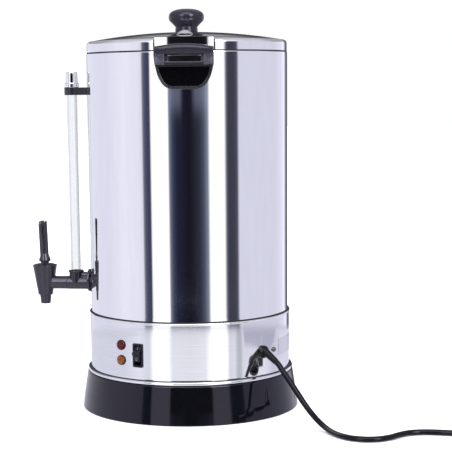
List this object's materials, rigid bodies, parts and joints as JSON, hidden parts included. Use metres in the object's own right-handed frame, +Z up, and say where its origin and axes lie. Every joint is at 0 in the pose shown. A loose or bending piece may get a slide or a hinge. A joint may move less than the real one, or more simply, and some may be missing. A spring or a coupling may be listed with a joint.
{
  "type": "hot water urn",
  "caption": "Upright steel hot water urn with a lift-off lid, carrying handles, lever tap, glass level gauge, rocker switch and mains lead.",
  "frame": {"origin": "on the tank's axis, at the plane the base ring stands on", "axes": "+Z up along the tank's axis, -Y from the axis towards the tap, +X to the side with the switch and lamps"},
  "size_m": [0.3879, 0.7249, 0.5395],
  "materials": {
    "polished_steel": "mirror-bright rolled stainless sheet",
    "brushed_steel": "stainless sheet brushed round the housing",
    "zinc_sheet": "plain zinc-plated sheet",
    "zinc_steel": "bright zinc-plated screws",
    "bright_pin": "drawn stainless wire and rod",
    "chrome": "chromium-plated",
    "cast_aluminium": "cast, matt",
    "element_sheath": "oxidised nickel-steel sheath",
    "brass": "bright brass",
    "foil": "bare satin foil",
    "black_gloss": "glossy moulded, black",
    "black_handle": "satin-gloss moulded, black",
    "black_tap": "satin-gloss moulded, black",
    "black_moulding": "moulded, black",
    "black_plug": "moulded, black",
    "black_cord": "smooth flexible sheath",
    "black_rubber": "matt",
    "silicone": "matt translucent",
    "nylon_white": "natural nylon",
    "ceramic_white": "glazed body",
    "wire_colours": "blue, brown, green and red insulation",
    "clear_glass": "clear drawn tube",
    "red_lens": "translucent lens, deep red",
    "amber_lens": "translucent lens, amber"
  },
  "bodies": {
    "urn": {"base_ring": "black_gloss", "base_plate": "zinc_sheet", "rubber_feet": "black_rubber", "base_screws": "zinc_steel", "housing_panel": "brushed_steel", "housing_screws": "zinc_steel", "tank_wall": "polished_steel", "tank_floor": "polished_steel", "heater_plate": "cast_aluminium", "boil_element": "element_sheath", "warm_element": "element_sheath", "boil_thermostat": "black_moulding", "thermal_cutout": "ceramic_white", "sensor_strap": "zinc_sheet", "terminal_block": "nylon_white", "inner_cable": "black_cord", "wiring": "wire_colours", "tap_body": "black_tap", "tap_bonnet": "black_tap", "tap_spring": "bright_pin", "gauge_tee": "black_tap", "tap_washer": "black_rubber", "inner_washer": "silicone", "tap_nut": "black_tap", "gauge_seals": "black_rubber", "gauge_glass": "clear_glass", "gauge_bracket": "black_tap", "bracket_screw": "zinc_steel", "gauge_cap": "chrome", "handle_near": "black_handle", "handle_far": "black_handle", "handle_screws": "zinc_steel", "switch_body": "black_moulding", "red_lamp": "red_lens", "amber_lamp": "amber_lens", "lamp_clips": "zinc_sheet", "cord_gland": "black_rubber", "gland_nut": "black_moulding", "mains_cord": "black_cord", "cord_coil": "black_cord", "mains_plug": "black_plug", "plug_pins": "brass", "rating_plate": "foil", "earth_screw": "zinc_steel"},
    "stem": {"tap_stem": "bright_pin", "tap_seal": "silicone"},
    "lever": {"tap_lever": "black_tap", "lever_pin": "bright_pin"},
    "rocker": {"switch_rocker": "black_moulding"},
    "lid": {"lid_shell": "polished_steel", "lid_skirt": "polished_steel", "lid_knob": "black_gloss", "knob_screw": "zinc_steel"}
  },
  "joints": [
    {"name": "lid_lift", "type": "slide", "parent": "urn", "child": "lid", "axis": [0, 0, 1], "range_m": [0, 0.12]},
    {"name": "stem_lift", "type": "slide", "parent": "urn", "child": "stem", "axis": [0, 0, 1], "range_m": [0, 0.004], "stiffness_N_per_m": 300, "springref_m": -0.004, "deforming": ["tap_spring"]},
    {"name": "lever_tilt", "type": "hinge", "parent": "stem", "child": "lever", "pos_m": [0, -0.204, 0.201], "axis": [1, 0, 0], "range_deg": [0, 40]},
    {"name": "rocker_tilt", "type": "hinge", "parent": "urn", "child": "rocker", "pos_m": [0.12114, -0.04772, 0.0894], "axis": [0.3665, 0.9304, 0], "range_deg": [0, 28]}
  ],
  "couplings": [
    {"joint": "lever_tilt", "follows": "stem_lift", "rad_per_m": 174.5}
  ]
}
